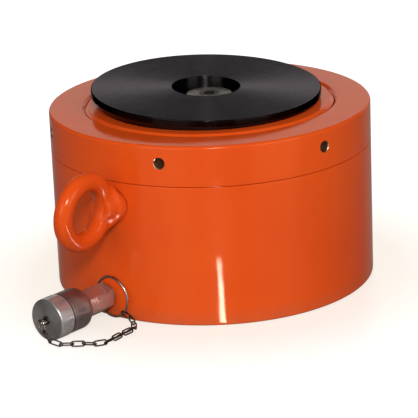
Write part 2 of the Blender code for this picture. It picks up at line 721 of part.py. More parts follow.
def coupler_frame():
    return radial_frame(PORT_AZIMUTH, PORT_HEIGHT)


def make_nipple():
    low = NIPPLE_END_GAP - PORT_DEPTH
    high = ADAPTER_START + NIPPLE_IN_COUPLER
    profile = tube(NIPPLE_BORE_DIAMETER / 2, NIPPLE_DIAMETER / 2, low, high, NIPPLE_CHAMFER)
    turned("port_nipple", profile, NIPPLE_STEEL, MEDIUM_SIDES, coupler_frame())


def make_coupler():
    socket = NIPPLE_DIAMETER / 2 + CLEARANCE
    socket_end = ADAPTER_START + NIPPLE_IN_COUPLER + CLEARANCE
    adapter_end = ADAPTER_START + ADAPTER_LENGTH
    spigot_end = adapter_end + ADAPTER_SPIGOT_LENGTH
    spigot = ADAPTER_SPIGOT_DIAMETER / 2
    corner = ADAPTER_ACROSS_FLATS / math.sqrt(3)
    flat = ADAPTER_ACROSS_FLATS / 2
    bore = NIPPLE_BORE_DIAMETER / 2
    adapter = turned(
        "coupler_adapter",
        [
            (bore, spigot_end),
            (spigot, spigot_end),
            (spigot, adapter_end),
            (flat, adapter_end),
            (corner, adapter_end - ADAPTER_CORNER_CHAMFER),
            (corner, ADAPTER_START + ADAPTER_CORNER_CHAMFER),
            (flat, ADAPTER_START),
            (socket, ADAPTER_START),
            (socket, socket_end),
            (bore, socket_end),
        ],
        ADAPTER_STEEL,
        MEDIUM_SIDES,
        coupler_frame(),
    )
    roll = coupler_frame() @ Matrix.Rotation(ADAPTER_ROLL + math.pi / 6, 4, "Z")
    hexagon = plug(corner, 0, spigot_end + CUT_OVERRUN)
    combine(adapter, cutter("adapter_hexagon", hexagon, roll, 6), "INTERSECT")
    outer = COUPLER_DIAMETER / 2
    rear_bore = spigot + CLEARANCE
    rear_end = spigot_end + CLEARANCE
    chamber = COUPLER_BORE_DIAMETER / 2
    lip = COUPLER_SEAT_DIAMETER / 2
    front = COUPLER_SOCKET_DIAMETER / 2
    turned(
        "coupler_body",
        [
            (front, SPIGOT_END),
            (COUPLER_SPIGOT_DIAMETER / 2, SPIGOT_END),
            (COUPLER_SPIGOT_DIAMETER / 2, COUPLER_END),
            (outer - COUPLER_EDGE_CHAMFER, COUPLER_END),
            (outer, COUPLER_END - COUPLER_EDGE_CHAMFER),
            (outer, COUPLER_START + COUPLER_SHOULDER_LENGTH),
            (outer - COUPLER_SHOULDER_DROP, COUPLER_START),
            (rear_bore, COUPLER_START),
            (rear_bore, rear_end),
            (chamber, rear_end),
            (chamber, SEAT_LIP_START - (chamber - lip)),
            (lip, SEAT_LIP_START),
            (lip, SEAT_LIP_END),
            (front, SEAT_LIP_END),
        ],
        COUPLER_STEEL,
        MEDIUM_SIDES,
        coupler_frame(),
    )


def make_poppet_and_spring():
    chamber = COUPLER_BORE_DIAMETER / 2
    lip = COUPLER_SEAT_DIAMETER / 2
    head = chamber - POPPET_PLAY
    seat_face = lip - POPPET_SEAT_PLAY
    cone = head - seat_face
    cone_end = SEAT_LIP_START - CLEARANCE * 2
    head_front = cone_end - cone
    head_back = head_front - POPPET_HEAD_LENGTH
    spring_seat = COUPLER_START + ADAPTER_SPIGOT_LENGTH + CLEARANCE
    stem_end = spring_seat + POPPET_TRAVEL + 2 * CLEARANCE
    nose = POPPET_NOSE_DIAMETER / 2
    turned(
        "coupler_poppet",
        [
            (0, SEAT_LIP_START + POPPET_NOSE_LENGTH),
            (nose, SEAT_LIP_START + POPPET_NOSE_LENGTH),
            (nose, cone_end),
            (seat_face, cone_end),
            (head, head_front),
            (head, head_back),
            (POPPET_STEM_DIAMETER / 2, head_back),
            (POPPET_STEM_DIAMETER / 2, stem_end),
            (0, stem_end),
        ],
        POPPET_STEEL,
        SMALL_SIDES,
        coupler_frame(),
    )
    wire = SPRING_WIRE_DIAMETER / 2
    coil = POPPET_STEM_DIAMETER / 2 + wire + SPRING_PLAY
    low = spring_seat + wire + CLEARANCE
    high = head_back - wire - CLEARANCE
    steps = SPRING_STEPS * SPRING_TURNS
    points = []
    for i in range(steps + 1):
        angle = math.tau * i / SPRING_STEPS
        points.append((coil * math.cos(angle), coil * math.sin(angle), low + (high - low) * i / steps))
    wire_piece("coupler_spring", points, wire, SPRING_STEEL, coupler_frame(), cyclic=False)


def wire_piece(name, points, radius, paint, matrix, cyclic):
    curve = bpy.data.curves.new(name, "CURVE")
    curve.dimensions = "3D"
    curve.bevel_depth = radius
    curve.bevel_resolution = 1
    curve.use_fill_caps = not cyclic
    spline = curve.splines.new("POLY")
    spline.points.add(len(points) - 1)
    for point, place_at in zip(spline.points, points):
        point.co = (*place_at, 1)
    spline.use_cyclic_u = cyclic
    curve.materials.append(paint)
    obj = bpy.data.objects.new(name, curve)
    PARTS.objects.link(obj)
    obj.matrix_world = matrix
    return obj


def make_cap():
    outer = CAP_DIAMETER / 2
    inner = COUPLER_SPIGOT_DIAMETER / 2 + CAP_THREAD_PLAY
    hole = SWIVEL_SHANK_DIAMETER / 2 + CLEARANCE
    corner = (outer - CAP_EDGE_ROUND, CAP_OUTER_FACE - CAP_EDGE_ROUND)
    turned(
        "dust_cap",
        [
            (hole, CAP_OUTER_FACE),
            *arc(corner, CAP_EDGE_ROUND, math.pi / 2, 0, ARC_STEPS),
            (outer, COUPLER_END + CAP_GAP),
            (inner, COUPLER_END + CAP_GAP),
            (inner, CAP_INNER_FACE),
            (hole, CAP_INNER_FACE),
        ],
        CAP_METAL,
        MEDIUM_SIDES,
        coupler_frame(),
    )
    gasket = tube(GASKET_INNER_DIAMETER / 2, inner - CLEARANCE, GASKET_START, CAP_INNER_FACE - CLEARANCE)
    turned("cap_gasket", gasket, GASKET_RUBBER, MEDIUM_SIDES, coupler_frame())


def make_swivel():
    """The rivet turns in the cap's face and carries an eye for the chain's last link."""
    shank = SWIVEL_SHANK_DIAMETER / 2
    head = SWIVEL_HEAD_DIAMETER / 2
    boss = SWIVEL_BOSS_DIAMETER / 2
    head_top = CAP_INNER_FACE - CLEARANCE
    rivet = turned(
        "cap_swivel_rivet",
        [
            (0, SWIVEL_BOSS_END),
            (boss - SWIVEL_CHAMFER, SWIVEL_BOSS_END),
            (boss, SWIVEL_BOSS_END - SWIVEL_CHAMFER),
            (boss, CAP_OUTER_FACE + CLEARANCE),
            (shank, CAP_OUTER_FACE + CLEARANCE),
            (shank, head_top),
            (head, head_top),
            (head, head_top - SWIVEL_HEAD_THICKNESS),
            (0, head_top - SWIVEL_HEAD_THICKNESS),
        ],
        SWIVEL_STEEL,
        SMALL_SIDES,
        coupler_frame(),
    )
    mesh = torus_mesh(SWIVEL_EYE_DIAMETER / 2, SWIVEL_EYE_WIRE / 2, SMALL_SIDES, WIRE_SIDES)
    mesh.transform(Matrix.Rotation(math.pi / 2, 4, "X"))
    at = coupler_frame() @ Matrix.Translation((0, 0, SWIVEL_EYE_CENTRE))
    eye = place("swivel_eye_join", mesh, None, at, CUTTERS, shade=False)
    eye.hide_render = True
    eye.display_type = "WIRE"
    combine(rivet, eye, "UNION")


def make_tether_ring():
    mesh = torus_mesh(TETHER_RING_DIAMETER / 2, TETHER_RING_WIRE / 2, MEDIUM_SIDES, WIRE_SIDES)
    middle = NIPPLE_SHOWN - CLEARANCE - TETHER_RING_WIRE / 2
    at = radial_frame(PORT_AZIMUTH, TETHER_RING_HEIGHT)
    place("tether_ring", mesh, TETHER_STEEL, at @ Matrix.Translation((TETHER_RING_SIDEWAYS, 0, middle)))


def smooth_route(points, steps):
    """A smooth curve through the points, which passes through each of them."""
    padded = [2 * points[0] - points[1], *points, 2 * points[-1] - points[-2]]
    route = []
    for a, b, c, d in zip(padded, padded[1:], padded[2:], padded[3:]):
        for i in range(steps):
            t = i / steps
            route.append(
                0.5
                * (2 * b + (c - a) * t + (2 * a - 5 * b + 4 * c - d) * t**2 + (3 * b - a - 3 * c + d) * t**3)
            )
    route.append(points[-1])
    return route


def ahead(route, stretch, start, distance):
    """Goes on from a point on the route to the one that lies the distance from it, and names its stretch."""
    while (route[stretch + 1] - start).length < distance:
        stretch += 1
    low, high = 0.0, 1.0
    for _ in range(HALVINGS):
        half = (low + high) / 2
        if (route[stretch].lerp(route[stretch + 1], half) - start).length < distance:
            low = half
        else:
            high = half
    return route[stretch].lerp(route[stretch + 1], high), stretch


def link_spans(route, pitch, count):
    """Where each link starts and ends, and the stretch of the route that the last one ends in."""
    spans = []
    start, stretch = route[0], 0
    for i in range(1, count + 1):
        end, last = ahead(route, stretch, start, pitch)
        spans.append((start, end))
        step = pitch - LINK_SLACK if i in SLACK_AFTER else pitch
        start, stretch = ahead(route, stretch, start, step)
    return spans, last


def chain_spans():
    """Where each link starts and ends, from the tether ring to the swivel's eye."""
    frame = radial_frame(PORT_AZIMUTH, 0)
    ring = TETHER_RING_DIAMETER / 2
    hook = Vector(
        (
            TETHER_RING_SIDEWAYS + ring * math.cos(TETHER_HOOK_ANGLE),
            TETHER_RING_HEIGHT + ring * math.sin(TETHER_HOOK_ANGLE),
            NIPPLE_SHOWN - CLEARANCE - TETHER_RING_WIRE / 2,
        )
    )
    eye = Vector((0, PORT_HEIGHT, SWIVEL_EYE_CENTRE + SWIVEL_EYE_DIAMETER / 2))
    rise = PORT_HEIGHT - CHAIN_FLOOR_HEIGHT
    middle = []
    for along, across, height in CHAIN_ROUTE:
        spread = Vector((across, 0, along)) * SWIVEL_EYE_CENTRE
        middle.append(spread + Vector((0, CHAIN_FLOOR_HEIGHT + height * rise, 0)))
    hook = hook - (middle[0] - hook).normalized() * (TETHER_RING_WIRE + LINK_PLAY) / 2
    eye = eye - (middle[-1] - eye).normalized() * (SWIVEL_EYE_WIRE + LINK_PLAY) / 2
    route = [frame @ point for point in smooth_route([hook, *middle, eye], ROUTE_STEPS)]
    length = sum((b - a).length for a, b in zip(route, route[1:])) + LINK_SLACK * len(SLACK_AFTER)
    nominal = LINK_LENGTH - 2 * LINK_WIRE - LINK_PLAY
    count = round(length / nominal)
    beyond = route[-1] + (route[-1] - route[-2]).normalized() * length
    low, high = LINK_SLACK, nominal * 2
    for _ in range(HALVINGS):
        pitch = (low + high) / 2
        spans, last = link_spans([*route, beyond], pitch, count)
        if last < len(route) - 1:
            low = pitch
        else:
            high = pitch
    spans, last = link_spans([*route, beyond], low, count)
    spans[-1] = (spans[-1][0], route[-1])
    return spans


def link_outline(length):
    """Centre line of one oval link, long along X."""
    bend = (LINK_WIDTH - LINK_WIRE) / 2
    straight = length / 2 - bend
    points = []
    for side in (1, -1):
        for i in range(LINK_ARC_STEPS + 1):
            angle = -math.pi / 2 + math.pi * i / LINK_ARC_STEPS
            points.append((side * (straight + bend * math.cos(angle)), side * bend * math.sin(angle), 0))
    return points


def link_turn(i, count):
    """Neighbours stand a quarter turn apart. On the floor each leans, at the ends none does."""
    from_start = min(i / LEANING_AFTER, 1)
    to_end = min((count - 1 - i) / LEANING_AFTER, 1)
    last = 0 if count % 2 else 2
    lean = LINK_LEAN * (from_start + (1 - to_end) * (last - 1))
    return i * math.pi / 2 - lean


def make_chain():
    spans = chain_spans()
    count = len(spans)
    for i, (start, end) in enumerate(spans):
        along = (end - start).normalized()
        side = along.cross(Vector((0, 0, 1))).normalized()
        up = side.cross(along)
        facing = Matrix.Rotation(link_turn(i, count), 3, along)
        axes = Matrix((along, facing @ side, facing @ up)).transposed().to_4x4()
        at = Matrix.Translation((start + end) / 2) @ axes
        length = (end - start).length + LINK_WIRE + LINK_PLAY
        name = f"chain_link_{i + 1:02d}"
        wire_piece(name, link_outline(length), LINK_WIRE / 2, CHAIN_STEEL, at, cyclic=True)


def main():
    make_body()
    make_wiper()
    make_lock_nut()
    make_plunger()
    make_piston_rings()
    make_saddle()
    make_saddle_retainer()
    make_eyes()
    make_nipple()
    make_coupler()
    make_poppet_and_spring()
    make_cap()
    make_swivel()
    make_tether_ring()
    make_chain()
    bpy.context.view_layer.update()


main()
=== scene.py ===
import math

import bmesh
import bpy
import numpy as np
from mathutils import Matrix, Vector


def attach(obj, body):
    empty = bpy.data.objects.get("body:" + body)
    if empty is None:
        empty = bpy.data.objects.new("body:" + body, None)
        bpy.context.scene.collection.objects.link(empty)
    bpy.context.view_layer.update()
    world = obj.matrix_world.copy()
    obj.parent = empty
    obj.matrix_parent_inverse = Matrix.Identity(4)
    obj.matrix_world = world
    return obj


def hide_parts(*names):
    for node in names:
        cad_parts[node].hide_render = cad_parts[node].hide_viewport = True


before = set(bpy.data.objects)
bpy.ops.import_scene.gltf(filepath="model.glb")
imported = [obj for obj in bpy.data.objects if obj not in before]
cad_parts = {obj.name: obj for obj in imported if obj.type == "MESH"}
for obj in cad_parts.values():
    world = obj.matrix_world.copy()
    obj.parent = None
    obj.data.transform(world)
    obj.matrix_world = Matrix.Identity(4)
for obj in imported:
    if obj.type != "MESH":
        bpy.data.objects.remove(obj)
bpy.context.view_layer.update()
scene = bpy.context.scene
mm = 0.001  # the pieces' sizes below are in millimetres, the studio's in metres
white = (1, 1, 1)
print("frame loaded")


# camera, turned and shifted to the photograph's view

camera = {
    "place": (0, -1.7527, 0.6379),
    "target": (0, 0, 0.06875),
    "roll": -2.33,  # degrees
    "lens": 182.76,  # millimetres, as the sensor
    "sensor": 36,
    "shift": (-0.00995, -0.03655),
}


def facing(place, target):
    # a place from which -Z looks at the target
    aim = (Vector(target) - Vector(place)).to_track_quat("-Z", "Y").to_matrix().to_4x4()
    return Matrix.Translation(place) @ aim


def setCamera():
    data = bpy.data.cameras.new("photoCamera")
    data.lens = camera["lens"]
    data.sensor_width = camera["sensor"]
    data.shift_x, data.shift_y = camera["shift"]
    photoCamera = bpy.data.objects.new("photoCamera", data)
    scene.collection.objects.link(photoCamera)
    roll = Matrix.Rotation(math.radians(camera["roll"]), 4, "Z")
    photoCamera.matrix_world = facing(camera["place"], camera["target"]) @ roll
    scene.camera = photoCamera


lamps = {
    "key": {"place": (0.08, -2.25, 1.32), "size": (0.36, 0.3), "power": 35, "colour": (1, 0.98, 0.94)},
    "left": {"place": (-1.5, -2.1, 0.9), "size": (1.6, 1.3), "power": 18, "colour": (1, 0.97, 0.94)},
    "right": {"place": (1.8, -1.8, 0.9), "size": (1.6, 1.3), "power": 17, "colour": (1, 0.97, 0.94)},
    "back": {"place": (0.3, 2.2, 0.75), "size": (3.0, 0.9), "power": 5, "colour": (1, 0.92, 0.80)},
}
lampTarget = (0, 0, 0.08)


def setLamps():
    for name, lamp in lamps.items():
        data = bpy.data.lights.new(name + "Lamp", "AREA")
        data.shape = "RECTANGLE"
        data.size, data.size_y = lamp["size"]
        data.energy = lamp["power"]
        data.color = lamp["colour"]
        light = bpy.data.objects.new(name + "Lamp", data)
        scene.collection.objects.link(light)
        light.matrix_world = facing(lamp["place"], lampTarget)


# small helpers for node trees

def addNode(tree, kind, **values):
    node = tree.nodes.new(kind)
    for name, value in values.items():
        setattr(node, name, value)
    return node


def calc(tree, operation, first, second=None):
    node = addNode(tree, "ShaderNodeMath", operation=operation)
    for index, value in enumerate((first, second)):
        if isinstance(value, (int, float)):
            node.inputs[index].default_value = value
        elif value is not None:
            tree.links.new(value, node.inputs[index])
    return node.outputs[0]


def spread(tree, value, low, high, toLow, toHigh):
    node = addNode(tree, "ShaderNodeMapRange", clamp=True)
    tree.links.new(value, node.inputs["Value"])
    for name, number in zip(("From Min", "From Max", "To Min", "To Max"), (low, high, toLow, toHigh)):
        node.inputs[name].default_value = number
    return node.outputs[0]


def blendColour(tree, factor, first, second):
    node = addNode(tree, "ShaderNodeMix", data_type="RGBA")
    tree.links.new(factor, node.inputs["Factor"])
    for name, value in (("A", first), ("B", second)):
        if isinstance(value, tuple):
            node.inputs[name].default_value = (*value, 1)
        else:
            tree.links.new(value, node.inputs[name])
    return node.outputs["Result"]


def grain(tree, where, scale, detail, lines=False):
    # a noise from 0 to 1; with lines it varies along one number only
    node = addNode(tree, "ShaderNodeTexNoise", noise_dimensions="1D" if lines else "3D")
    node.inputs["Scale"].default_value = scale
    node.inputs["Detail"].default_value = detail
    tree.links.new(where, node.inputs["W" if lines else "Vector"])
    return node.outputs["Fac"]


def patches(tree, where, pattern, low, high):
    # pattern is (scale, detail, noise that still gives low, noise that first gives high)
    scale, detail, start, end = pattern
    return spread(tree, grain(tree, where, scale, detail), start, end, low, high)


def bumped(tree, shader, layers):
    # layers are (height, depth in metres), the broadest first
    normal = None
    for height, depth in layers:
        node = addNode(tree, "ShaderNodeBump")
        node.inputs["Strength"].default_value = 1
        node.inputs["Distance"].default_value = depth
        tree.links.new(height, node.inputs["Height"])
        if normal is not None:
            tree.links.new(normal, node.inputs["Normal"])
        normal = node.outputs["Normal"]
    tree.links.new(normal, shader.inputs["Normal"])


def objectPlace(tree, at=None):
    # the piece's own coordinates, centred and turned on a frame where one is given
    coordinates = addNode(tree, "ShaderNodeTexCoord")
    if at is None:
        return coordinates.outputs["Object"]
    mapping = addNode(tree, "ShaderNodeMapping", vector_type="TEXTURE")
    mapping.inputs["Location"].default_value = at.to_translation()
    mapping.inputs["Rotation"].default_value = at.to_euler()
    tree.links.new(coordinates.outputs["Object"], mapping.inputs["Vector"])
    return mapping.outputs["Vector"]


def axes(tree, where):
    node = addNode(tree, "ShaderNodeSeparateXYZ")
    tree.links.new(where, node.inputs[0])
    return node.outputs


def fromAxis(tree, where):
    x, y, z = axes(tree, where)
    square = calc(tree, "ADD", calc(tree, "MULTIPLY", x, x), calc(tree, "MULTIPLY", y, y))
    return calc(tree, "SQRT", square)


def startMaterial(name, colour, roughness=0.3, metallic=0):
    made = bpy.data.materials.new(name)
    made.use_nodes = True
    shader = made.node_tree.nodes["Principled BSDF"]
    shader.inputs["Base Color"].default_value = (*colour, 1)
    shader.inputs["Roughness"].default_value = roughness
    shader.inputs["Metallic"].default_value = metallic
    made.diffuse_color = (*colour, 1)
    return made, made.node_tree, shader


def addObject(name, bm):
    mesh = bpy.data.meshes.new(name)
    bm.to_mesh(mesh)
    bm.free()
    obj = bpy.data.objects.new(name, mesh)
    scene.collection.objects.link(obj)
    return obj


# pale floor and room, brighter to the camera than to the metals

studio = {
    "floorReach": 9,
    "floorDrop": 0.0004,
    "floorColour": (0.25, 0.245, 0.235),
    "floorRoughness": 0.3,
    "floorGlow": (0.76, 0.99),  # beside the body and away from it
    "glowReach": (0.16, 0.3),
    "mirroredGlow": 0.04,
    # painted bounce light: the floor's glow is tinted warm near the body, as if lit orange by it, and
    # white further out
    "paintedBounceTint": (1, 0.93, 0.85),
    "paintedBounceReach": (0.15, 0.25),
    "roomLight": (0.28, 0.28, 0.28),
    "overhead": (0.02, 0.02, 0.02),
    "horizon": (0.173, 0.163, 0.148),
    "horizonReach": (0.02, 0.42),  # where it fades, from the horizon at 0 to straight up at 1
}


def seenRays(tree, path):
    return calc(tree, "MAXIMUM", path.outputs["Is Camera Ray"], path.outputs["Is Transmission Ray"])


def seenGlow(tree):
    # the pale floor as the camera and glass see it, and fainter as a mirror does
    path = addNode(tree, "ShaderNodeLightPath")
    mirrored = calc(tree, "MULTIPLY", path.outputs["Is Glossy Ray"], studio["mirroredGlow"])
    away = spread(tree, fromAxis(tree, objectPlace(tree)), *studio["glowReach"], *studio["floorGlow"])
    return calc(tree, "MAXIMUM", calc(tree, "MULTIPLY", seenRays(tree, path), away), mirrored)


def setWorld():
    world = bpy.data.worlds.new("paleRoom")
    world.use_nodes = True
    tree = world.node_tree
    path = addNode(tree, "ShaderNodeLightPath")
    height = axes(tree, addNode(tree, "ShaderNodeTexCoord").outputs["Generated"])[2]
    climb = spread(tree, height, *studio["horizonReach"], 0, 1)
    mirrored = blendColour(tree, climb, studio["horizon"], studio["overhead"])
    lit = blendColour(tree, path.outputs["Is Glossy Ray"], studio["roomLight"], mirrored)
    seen = blendColour(tree, seenRays(tree, path), lit, white)
    tree.links.new(seen, tree.nodes["Background"].inputs["Color"])
    scene.world = world


def setFloor():
    bm = bmesh.new()
    bmesh.ops.create_grid(bm, x_segments=1, y_segments=1, size=studio["floorReach"])
    bmesh.ops.translate(bm, verts=bm.verts, vec=(0, 0, -studio["floorDrop"]))
    floor = addObject("whiteFloor", bm)
    made, tree, shader = startMaterial("whiteFloor", studio["floorColour"], studio["floorRoughness"])
    # painted bounce light: a warm tint in the floor's glow near the body
    bounceNearBody = spread(tree, fromAxis(tree, objectPlace(tree)), *studio["paintedBounceReach"], 0, 1)
    tint = blendColour(tree, bounceNearBody, studio["paintedBounceTint"], white)
    tree.links.new(tint, shader.inputs["Emission Color"])
    tree.links.new(seenGlow(tree), shader.inputs["Emission Strength"])
    floor.data.materials.append(made)


# a slim bright strip lying before the body, which only glossy surfaces show

streak = {
    "width": 0.0092,
    "nearWidth": 0.6,  # share of the width that is left at the body
    "near": -0.1385,
    "far": -0.288,
    "side": 0.0066,
    "turn": 1.9,  # degrees
    "height": 0.002,
    "strength": 62,
}


def makeStripLight():
    made = bpy.data.materials.new("lightStrip")
    made.use_nodes = True
    tree = made.node_tree
    tree.nodes.remove(tree.nodes["Principled BSDF"])
    glow = addNode(tree, "ShaderNodeEmission")
    glow.inputs["Strength"].default_value = streak["strength"]
    clear = addNode(tree, "ShaderNodeBsdfTransparent")
    mixed = addNode(tree, "ShaderNodeMixShader")
    path = addNode(tree, "ShaderNodeLightPath")
    above = calc(tree, "SUBTRACT", 1, addNode(tree, "ShaderNodeNewGeometry").outputs["Backfacing"])
    tree.links.new(calc(tree, "MULTIPLY", path.outputs["Is Glossy Ray"], above), mixed.inputs[0])
    tree.links.new(clear.outputs[0], mixed.inputs[1])
    tree.links.new(glow.outputs[0], mixed.inputs[2])
    tree.links.new(mixed.outputs[0], tree.nodes["Material Output"].inputs["Surface"])
    return made


def setStreak():
    bm = bmesh.new()
    bmesh.ops.create_grid(bm, x_segments=1, y_segments=1, size=0.5)  # a square with sides of 1
    bmesh.ops.scale(bm, verts=bm.verts, vec=(streak["width"], streak["near"] - streak["far"], 1))
    nearEnd = [vert for vert in bm.verts if vert.co.y > 0]
    bmesh.ops.scale(bm, verts=nearEnd, vec=(streak["nearWidth"], 1, 1))
    turn = Matrix.Rotation(math.radians(streak["turn"]), 3, "Z")
    bmesh.ops.rotate(bm, verts=bm.verts, cent=(0, 0, 0), matrix=turn)
    middle = (streak["near"] + streak["far"]) / 2
    bmesh.ops.translate(bm, verts=bm.verts, vec=(streak["side"], middle, streak["height"]))
    strip = addObject("lightStrip", bm)
    strip.data.materials.append(makeStripLight())


scene.view_settings.view_transform = "Standard"
setCamera()
setLamps()
setWorld()
setFloor()
setStreak()
print("camera and light set")


# helpers for shapes

bodyRadius = 137.5


def spinRound(bm, geom, steps):
    bmesh.ops.spin(
        bm, geom=geom, cent=(0, 0, 0), axis=(0, 0, 1), angle=math.tau, steps=steps, use_merge=True
    )


def turned(profile, steps=192):
    # spins a profile of (radius, height) or (radius, height, rounding) about Z
    bm = bmesh.new()
    points = [bm.verts.new((point[0] * mm, 0, point[1] * mm)) for point in profile]
    edges = []
    for a, b in zip(points, points[1:] + points[:1]):
        if a.co.x > 0 or b.co.x > 0:
            edges.append(bm.edges.new((a, b)))
    spinRound(bm, points + edges, steps)
    bmesh.ops.remove_doubles(bm, verts=bm.verts, dist=1e-6)
    for radius, height, rounding in [point for point in profile if len(point) > 2]:
        bmesh.ops.bevel(
            bm,
            geom=ringEdges(bm, radius * mm, height * mm),
            offset=rounding * mm,
            segments=4 if rounding > 1 else 2,
            affect="EDGES",
            profile=0.5,
            material=-1,
        )
    bmesh.ops.recalc_face_normals(bm, faces=bm.faces)
    return bm


def ringEdges(bm, radius, height):
    def near(vert):
        return abs(vert.co.z - height) < 1e-6 and abs(vert.co.xy.length - radius) < 2e-6
    return [edge for edge in bm.edges if near(edge.verts[0]) and near(edge.verts[1])]


def dome(radius, centre, inner, outer, steps):
    # points on a ball's underside, from one distance to another
    points = []
    for index in range(steps + 1):
        reach = inner + (outer - inner) * index / steps
        points.append((reach, centre - math.sqrt(radius**2 - reach**2)))
    return points


def rod(radius, low, high, steps=48):
    return turned([(0, low), (radius, low), (radius, high), (0, high)], steps)


def wireRing(ringRadius, wireRadius, steps, sides):
    bm = bmesh.new()
    bmesh.ops.create_circle(bm, segments=sides, radius=wireRadius * mm)
    bmesh.ops.rotate(bm, verts=bm.verts, cent=(0, 0, 0), matrix=Matrix.Rotation(math.pi / 2, 3, "X"))
    bmesh.ops.translate(bm, verts=bm.verts, vec=(ringRadius * mm, 0, 0))
    spinRound(bm, bm.verts[:] + bm.edges[:], steps)
    bmesh.ops.remove_doubles(bm, verts=bm.verts, dist=1e-7)
    bmesh.ops.recalc_face_normals(bm, faces=bm.faces)
    return bm


def threadGroove(thread, steps):
    # the hollow of a right-handed thread, as a closed solid to take away
    bm = bmesh.new()
    mouth, root, pitch = (thread[name] * mm for name in ("mouth", "root", "pitch"))
    wide, narrow = thread["wide"] * mm / 2, thread["narrow"] * mm / 2
    low = thread["low"] * mm
    corners = [(mouth, wide), (mouth, -wide), (root, -narrow), (root, narrow)]
    face = bm.faces.new([bm.verts.new((x, 0, low + z)) for x, z in corners])
    turns = (thread["high"] - thread["low"]) / thread["pitch"]
    bmesh.ops.spin(
        bm,
        geom=bm.verts[:] + bm.edges[:] + [face],
        cent=(0, 0, 0),
        axis=(0, 0, 1),
        dvec=(0, 0, pitch / steps),
        angle=math.tau * turns,
        steps=round(turns * steps),
    )
    bmesh.ops.recalc_face_normals(bm, faces=bm.faces)
    return bm


def moved(bm, matrix):
    bmesh.ops.transform(bm, matrix=matrix, verts=bm.verts)
    return bm


def together(*parts):
    # puts several meshes in one, leaving them apart
    whole = bmesh.new()
    for part in parts:
        mesh = bpy.data.meshes.new("part")
        part.to_mesh(mesh)
        part.free()
        whole.from_mesh(mesh)
        bpy.data.meshes.remove(mesh)
    return whole


def modified(obj):
    bpy.context.view_layer.update()
    bm = bmesh.new()
    bm.from_object(obj, bpy.context.evaluated_depsgraph_get())
    return bm


def dropObject(obj):
    mesh = obj.data
    bpy.data.objects.remove(obj, do_unlink=True)
    bpy.data.meshes.remove(mesh)


def combined(bm, other, operation="DIFFERENCE"):
    blank = addObject("blank", bm)
    partner = addObject("partner", other)
    tool = blank.modifiers.new("tool", "BOOLEAN")
    tool.operation = operation
    tool.solver = "EXACT"
    tool.object = partner
    result = modified(blank)
    dropObject(blank)
    dropObject(partner)
    return result


def melted(bm, voxel, rounds):
    # joins overlapping shells into one skin and softens where they meet
    blank = addObject("blank", bm)
    skin = blank.modifiers.new("skin", "REMESH")
    skin.mode = "VOXEL"
    skin.voxel_size = voxel * mm
    result = modified(blank)
    dropObject(blank)
    for _ in range(rounds):
        bmesh.ops.smooth_vert(
            result, verts=result.verts, factor=0.5, use_axis_x=True, use_axis_y=True, use_axis_z=True
        )
    return result


def finishPiece(bm, name, material, body, nodes, sharp=32, second=None):
    # second is (material, test of a face's centre): those faces take the other material
    bmesh.ops.remove_doubles(bm, verts=bm.verts, dist=2e-7)
    bmesh.ops.recalc_face_normals(bm, faces=bm.faces)
    for face in bm.faces:
        face.smooth = True
        face.material_index = 0
        if second is not None and second[1](face.calc_center_median()):
            face.material_index = 1
    for edge in bm.edges:
        edge.smooth = edge.calc_face_angle(math.pi) < math.radians(sharp)
    obj = addObject(name, bm)
    obj.data.materials.append(material)
    if second is not None:
        obj.data.materials.append(second[0])
    even = obj.modifiers.new("evenShading", "WEIGHTED_NORMAL")
    even.keep_sharp = True
    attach(obj, body)
    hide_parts(*nodes)


def outwardFrame(azimuth, height):
    # a place on the body's side: Z points out of the body, X runs across and Y up
    angle = math.radians(azimuth)
    out = Vector((math.cos(angle), math.sin(angle), 0))
    across = Vector((-math.sin(angle), math.cos(angle), 0))
    turn = Matrix((across, Vector((0, 0, 1)), out)).transposed().to_4x4()
    return Matrix.Translation(out * bodyRadius * mm + Vector((0, 0, height * mm))) @ turn


# orange enamel, used on every painted part

enamel = {
    "colour": (0.73, 0.084, 0.009),
    "deep": (0.60, 0.050, 0.004),
    "clouds": (11, 4, 0.35, 0.7),  # a pattern, as patches takes it
    "cloudiness": 0.45,
    "dust": (0.30, 0.12, 0.07),
    "dustHeight": 0.014,  # settled dust ends here, in metres above the floor
    "dustGrain": (120, 5),
    "dustiness": 0.5,
    "specks": (620, 2, 0.72, 0.8),
    "speckiness": 0.35,
    "specular": 0.26,
    "sheenTint": (1, 0.84, 0.62),
    "sheen": (38, 4, 0.3, 0.75),
    "smooth": 0.09,
    "dull": 0.18,
    "dustDulls": 0.3,
    "swell": (30, 2, 0.00022),  # scale, detail, depth in metres
    "peel": (420, 2, 0.000022),
}


def makeEnamel(name, look):
    made, tree, shader = startMaterial(name, look["colour"])
    shader.inputs["Specular IOR Level"].default_value = look["specular"]
    shader.inputs["Specular Tint"].default_value = (*look["sheenTint"], 1)
    where = objectPlace(tree)
    deeper = patches(tree, where, look["clouds"], 0, look["cloudiness"])
    tint = blendColour(tree, deeper, look["colour"], look["deep"])
    low = spread(tree, axes(tree, where)[2], 0, look["dustHeight"], look["dustiness"], 0)
    settled = calc(tree, "MULTIPLY", low, grain(tree, where, *look["dustGrain"]))
    specks = patches(tree, where, look["specks"], 0, look["speckiness"])
    dusty = calc(tree, "MAXIMUM", settled, specks)
    tree.links.new(blendColour(tree, dusty, tint, look["dust"]), shader.inputs["Base Color"])
    sheen = patches(tree, where, look["sheen"], look["smooth"], look["dull"])
    rough = calc(tree, "ADD", sheen, calc(tree, "MULTIPLY", dusty, look["dustDulls"]))
    tree.links.new(rough, shader.inputs["Roughness"])
    layers = []
    for scale, detail, depth in (look["swell"], look["peel"]):
        layers.append((grain(tree, where, scale, detail), depth))
    bumped(tree, shader, layers)
    return made


# metals: turning lines run round the axis of the frame a metal is made for, depths are in metres

